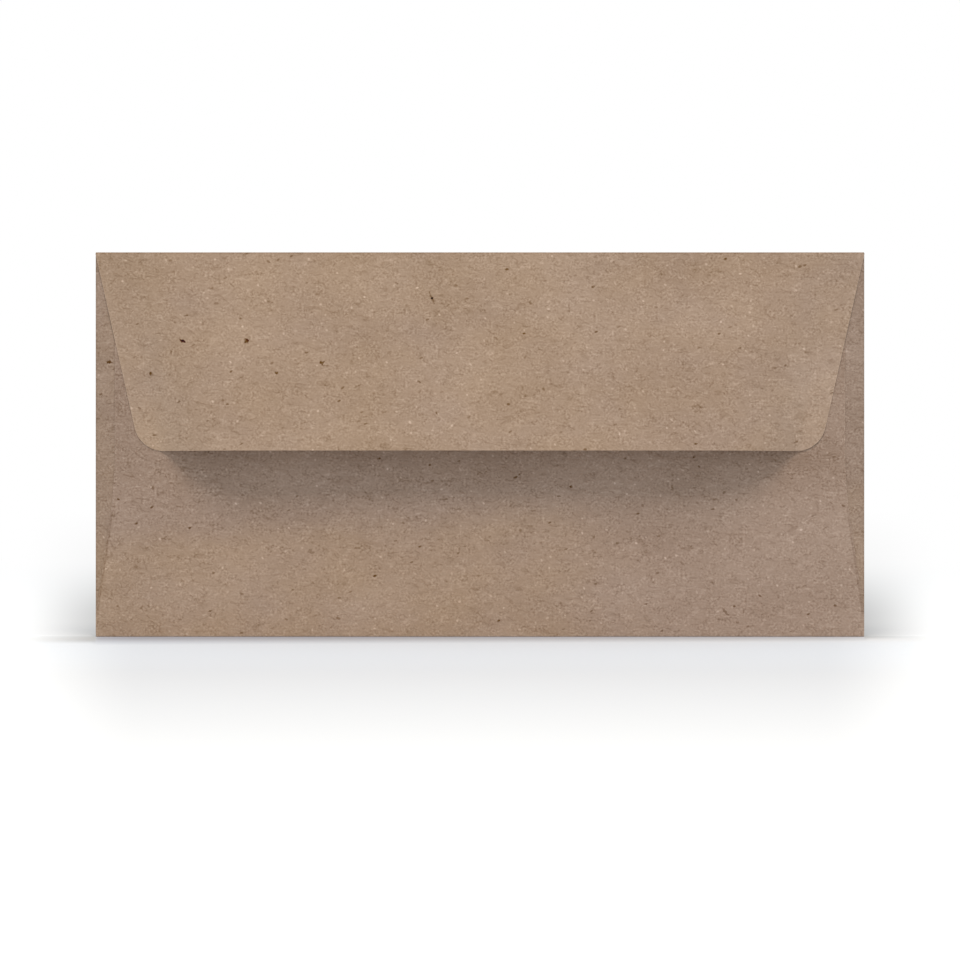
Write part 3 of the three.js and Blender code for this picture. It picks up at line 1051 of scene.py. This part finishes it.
# %% Gum and glue
STREAK = (30 * MM, 2 * MM, 2 * MM)
GUM_COLOUR = (0.30, 0.205, 0.125)
GUM_ROUGHNESS = 0.32
GLUE_COLOUR = (0.62, 0.55, 0.42)
GLUE_ROUGHNESS = 0.5
FILM_TONE = 0.85
STREAK_TONE = 0.3
STREAK_ROUGHNESS = 0.25


def make_film(name, colour, roughness):
    """A dried film whose colour and gloss vary in long streaks."""
    material, surface, start = new_material(name)
    place = start.node("ShaderNodeTexCoord", {}, {}, "Object")
    sockets = {"Vector": placed(place, (0, 0, 0), 0, STREAK), "Scale": 1.0, "Detail": 3.0}
    flow = start.node("ShaderNodeTexNoise", {}, sockets, "Fac")
    start.scaled(colour, FILM_TONE + STREAK_TONE * flow).feed(surface, "Base Color")
    gloss = roughness + STREAK_ROUGHNESS * (flow - 0.5)
    gloss.feed(surface, "Roughness")
    return material


gum_film = make_film("gum_film", GUM_COLOUR, GUM_ROUGHNESS)
dry_glue = make_film("dry_glue", GLUE_COLOUR, GLUE_ROUGHNESS)
print("films of gum and glue have", len(gum_film.node_tree.nodes), "nodes each")

# %% [markdown]
# Each new sheet takes the place of one or two of the frame's solids, which stay in the frame for
# its physics. The bodies are the two things that move apart: root, which is the pocket, and flap.
# The glue strips are the frame's own solids, whose shape is right, so they only get their film.

# %% Dress the pieces
def dress(piece, material):
    """Gives a piece its material."""
    piece.data.materials.clear()
    piece.data.materials.append(material)


dress(front_panel, kraft_front)
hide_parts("front_panel")
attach(front_panel, "root")

dress(back_panel, kraft_back)
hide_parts("back_panel", "bottom_fold")
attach(back_panel, "root")

for word, piece in sides.items():
    dress(piece, kraft_side)
    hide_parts(f"{word}_side_flap", f"{word}_side_fold")
    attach(piece, "root")
    glue = frame["nodes"][f"{word}_seam_glue"]
    glue.data.materials.clear()
    glue.data.materials.append(dry_glue)

dress(seal_flap, kraft_flap)
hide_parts("seal_flap", "top_fold")
blend_start = (0, front_low[1] * MM, CREASE_Z * MM)
blend_end = (0, (CREASE_Y - CREASE_OUTER + PAPER) * MM, CREASE_Z * MM)
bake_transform(seal_flap)

dress(gum, gum_film)
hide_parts("seal_gum")
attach(gum, "flap")
print("the crease bends from y =", round(blend_start[1] / MM, 2), "to", round(blend_end[1] / MM, 2), "mm")

# %% [markdown]
# A white background comes from the colour of the room and not from more light on the paper. The
# Light Path node tells what kind of ray asks: one that comes straight from the camera sees white,
# and so do the rays that gloss and glass send on, so that shiny things mirror the white room too.

# %% White for the camera
def seen_as_white(start):
    """1 for a ray that comes straight from the camera, or by way of gloss or glass, and else 0."""
    path = start.node("ShaderNodeLightPath", {}, {}, "Is Camera Ray")
    direct = path.math("MAXIMUM", path, path.other("Is Glossy Ray"))
    return path.math("MAXIMUM", direct, path.other("Is Transmission Ray"))


# %% [markdown]
# In the picture the shade on the floor is partly painted: a grey patch before the envelope, a dark
# line at its foot, a soft shade beside its ends, and a fine glow just before the foot. No single
# lamp gives that, so it is painted on the floor here too. Its masks are written at the envelope's
# own distance, in metres: how far to the right and how far above the foot line the camera sees a
# point. A mask from 0 to 1 between two such distances makes each border.

# %% Shade on the floor
FRONT_SHADE = 0.167
FRONT_DEPTH = (-0.0345, -0.0095)
FRONT_ENDS = (0.096, 0.135)
FOOT_SHADE = 0.36
FOOT_DEPTH = (-0.0019, 0.0)
FOOT_ENDS = (0.109, 0.112)
FOOT_DROP = 0.0010
FOOT_TILT = -0.0050
NEAR_SHADE = 0.268
NEAR_DEPTH = (0.005, 0.022)
FAR_SHADE = 0.17
FAR_DEPTH = (0, 0.036)
BESIDE_ENDS = (0.104, 0.133)
BESIDE_DRIFT = 0.12
BESIDE_DRIFT_PLACE = (0, 0.1)
HORIZON = (0, 0.0003)
TILTED_HORIZON = (-0.0006, 0.0006)
ENDS_PLACE = (0.1095, 0.1105)


def before(distance, start, end):
    """1 up to the start, 0 from the end, and smooth between."""
    return 1 - distance.above(start, end)


def floor_places(x, y):
    """How far from the middle and how far above the foot line the camera sees a point of the floor.
    Both shrink by the envelope's distance over the point's own. line is the second one, measured
    from the foot's dark line, which the picture shows a little lower and tilted."""
    squeeze = CAMERA_DISTANCE * MM / (y + CAMERA_DISTANCE * MM)
    across = abs(x) * squeeze
    back = CAMERA_HEIGHT * MM * (1 - squeeze)
    line = back + FOOT_DROP + FOOT_TILT * (x * squeeze)
    return across, back, line


def front_shade(across, back, line, behind):
    """The patch before the envelope, which fades out straight towards the camera, and the dark
    line at the foot."""
    patch = back.above(*FRONT_DEPTH, "LINEAR") * (1 - behind) * before(across, *FRONT_ENDS)
    foot = (line - FOOT_DROP).above(*FOOT_DEPTH, "LINEAR") * (1 - behind) * before(across, *FOOT_ENDS)
    return FRONT_SHADE * patch + FOOT_SHADE * foot


def beside_shade(x, across, back, behind):
    """The shade behind the foot line, beside the ends: a short dark one and a longer pale one, both
    a little darker on the right."""
    far = 1 - back.above(*FAR_DEPTH, "LINEAR")
    depth = NEAR_SHADE * before(back, *NEAR_DEPTH) + FAR_SHADE * far
    drift = 1 + BESIDE_DRIFT * x.above(*BESIDE_DRIFT_PLACE)
    return depth * behind * before(across, *BESIDE_ENDS) * drift


# %% Tone of the floor
FRONT_TONE = 0.845
OPEN_SHARE = 0.35
OPEN_INNER = (0.096, 0.133)
OPEN_OUTER = (0.122, 0.140)
GLOW_RISE = (-0.0124, -0.0020)
GLOW_FALL = (-0.0020, -0.0006)


def floor_shade(x, y):
    """Four numbers at a point of the floor: the painted shade before the envelope, the painted shade
    beside and behind it, the floor's tone, painted greyer before the envelope than beside it, where
    the lamp lights it more, and the painted glow just before the foot."""
    across, back, line = floor_places(x, y)
    ends = line.above(*TILTED_HORIZON) * across.above(*ENDS_PLACE)
    behind = x.math("MAXIMUM", back.above(*HORIZON), ends)
    ahead = before(back, *HORIZON)
    open_floor = 1 - (1 - OPEN_SHARE * across.above(*OPEN_INNER)) * before(across, *OPEN_OUTER)
    tone = 1 - (1 - FRONT_TONE) * ahead * (1 - open_floor)
    glow = back.above(*GLOW_RISE) * before(back, *GLOW_FALL) * ahead
    return front_shade(across, back, line, behind), beside_shade(x, across, back, behind), tone, glow


# %% [markdown]
# The floor is one wide plane. Near the envelope it is a pale matt surface that takes real light.
# Further out it turns into pure white light, as where a studio's floor sweeps up. What the camera
# sees is the painted shade, and what lights the envelope is an even pale grey, so the paint doesn't
# colour the paper. The plane is marked as stage, because it isn't part of the envelope. From here
# on lengths are in metres.

# %% Floor
FLOOR_REACH = 6.0
FLOOR_BOUNCE = (0.8, 0.8, 0.8, 1)
FLOOR_ROUGHNESS = 0.9
FRONT_TINT = (1.01, 1.0, 0.90)
FOOT_GLOW = (0.022, 0.046, 0.075)
SWEEP = (0.25, 0.8)
SOFTENED = 0.6
SOFTENED_DEPTH = (0, 0.015)


def make_floor_white():
    """The floor's material: the painted shade for the camera, an even grey for all other rays, and
    more and more light of its own outwards, and behind the envelope, where its real shadow would
    come on top of the painted one."""
    material, surface, start = new_material("floor_white")
    surface.inputs["Roughness"].default_value = FLOOR_ROUGHNESS
    surface.inputs["Specular IOR Level"].default_value = 0.0
    place = start.node("ShaderNodeTexCoord", {}, {}, "Object")
    x = start.node("ShaderNodeSeparateXYZ", {}, {0: place}, "X")
    y = x.other("Y")
    front, beside, tone, glow = floor_shade(x, y)
    seen = seen_as_white(start)
    rest = start.scaled((1, 1, 1), 1 - beside)
    light = start.vector("SUBTRACT", rest, start.scaled(FRONT_TINT, front))
    light = start.vector("ADD", light, start.scaled(FOOT_GLOW, glow))
    start.mix(seen, FLOOR_BOUNCE, start.scaled(light, tone)).feed(surface, "Base Color")

    sweep = start.node("ShaderNodeEmission", {}, {"Color": light}, "Emission")
    lit = before(start.length(place), *SWEEP) * (1 - SOFTENED * y.above(*SOFTENED_DEPTH))
    sockets = {0: (1 - lit) * seen, 1: Value(start.tree, surface.outputs["BSDF"]), 2: sweep}
    mixed = start.node("ShaderNodeMixShader", {}, sockets, "Shader")
    mixed.feed(start.tree.nodes["Material Output"], "Surface")
    return material


def make_floor():
    """A square plane at height 0, which reaches FLOOR_REACH metres each way."""
    signs = ((-1, -1), (1, -1), (1, 1), (-1, 1))
    mesh = bpy.data.meshes.new("floor")
    mesh.from_pydata([(FLOOR_REACH * x, FLOOR_REACH * y, 0) for x, y in signs], [], [(0, 1, 2, 3)])
    mesh.materials.append(make_floor_white())
    floor = bpy.data.objects.new("floor", mesh)
    bpy.context.scene.collection.objects.link(floor)
    return floor


floor = make_floor()
print("floor of", 2 * FLOOR_REACH, "m, with", len(floor.data.materials[0].node_tree.nodes), "nodes")

# %% [markdown]
# The envelope stands on a white floor in a white room. Most of the light comes from everywhere,
# which is what makes its shadows so soft. For the camera alone, the room is pure white: the World's
# strength and colour are sums of the same Light Path value.

# %% Room
ROOM_LIGHT = 0.66
ROOM_COLOUR = (0.91, 1.0, 1.06, 1)
WHITE = (1, 1, 1, 1)

world = bpy.data.worlds.new("room")
bpy.context.scene.world = world
world.use_nodes = True
background = world.node_tree.nodes["Background"]
room = Value(world.node_tree)
seen = seen_as_white(room)
strength = ROOM_LIGHT + (1 - ROOM_LIGHT) * seen
strength.feed(background, "Strength")
room.mix(seen, ROOM_COLOUR, WHITE).feed(background, "Color")
print("the room lights the paper at", ROOM_LIGHT, "of white")

# %% [markdown]
# One wide area lamp above and in front throws the flap's shadow down on the back panel. Its height
# sets how far the shadow reaches, and its size how softly the shadow ends: both are found by trying
# until the bands of shade under the flap agree with the picture. It is tipped down to face the
# height of the envelope's middle.

# %% Lamp
LAMP_COLOUR = (1.11, 1.0, 0.90)
LAMP_POWER = 28.1
LAMP_DISTANCE = 2.2
LAMP_RISE = math.radians(63.5)
LAMP_RIGHT = 0.02
LAMP_LENGTH = 0.8
LAMP_DEPTH = 0.74
AIM_HEIGHT = 0.055

lamp_data = bpy.data.lights.new("lamp", "AREA")
lamp_data.shape = "RECTANGLE"
lamp_data.size = LAMP_LENGTH
lamp_data.size_y = LAMP_DEPTH
lamp_data.energy = LAMP_POWER
lamp_data.color = LAMP_COLOUR
lamp = bpy.data.objects.new("lamp", lamp_data)
bpy.context.scene.collection.objects.link(lamp)
lamp_y = -LAMP_DISTANCE * math.cos(LAMP_RISE)
lamp_z = AIM_HEIGHT + LAMP_DISTANCE * math.sin(LAMP_RISE)
lamp.location = (LAMP_RIGHT, lamp_y, lamp_z)
lamp.rotation_euler = (math.radians(90) - LAMP_RISE, 0, 0)
print("lamp", round(-lamp_y, 2), "m in front and", round(lamp_z, 2), "m up")

bpy.context.scene.view_settings.view_transform = "Standard"
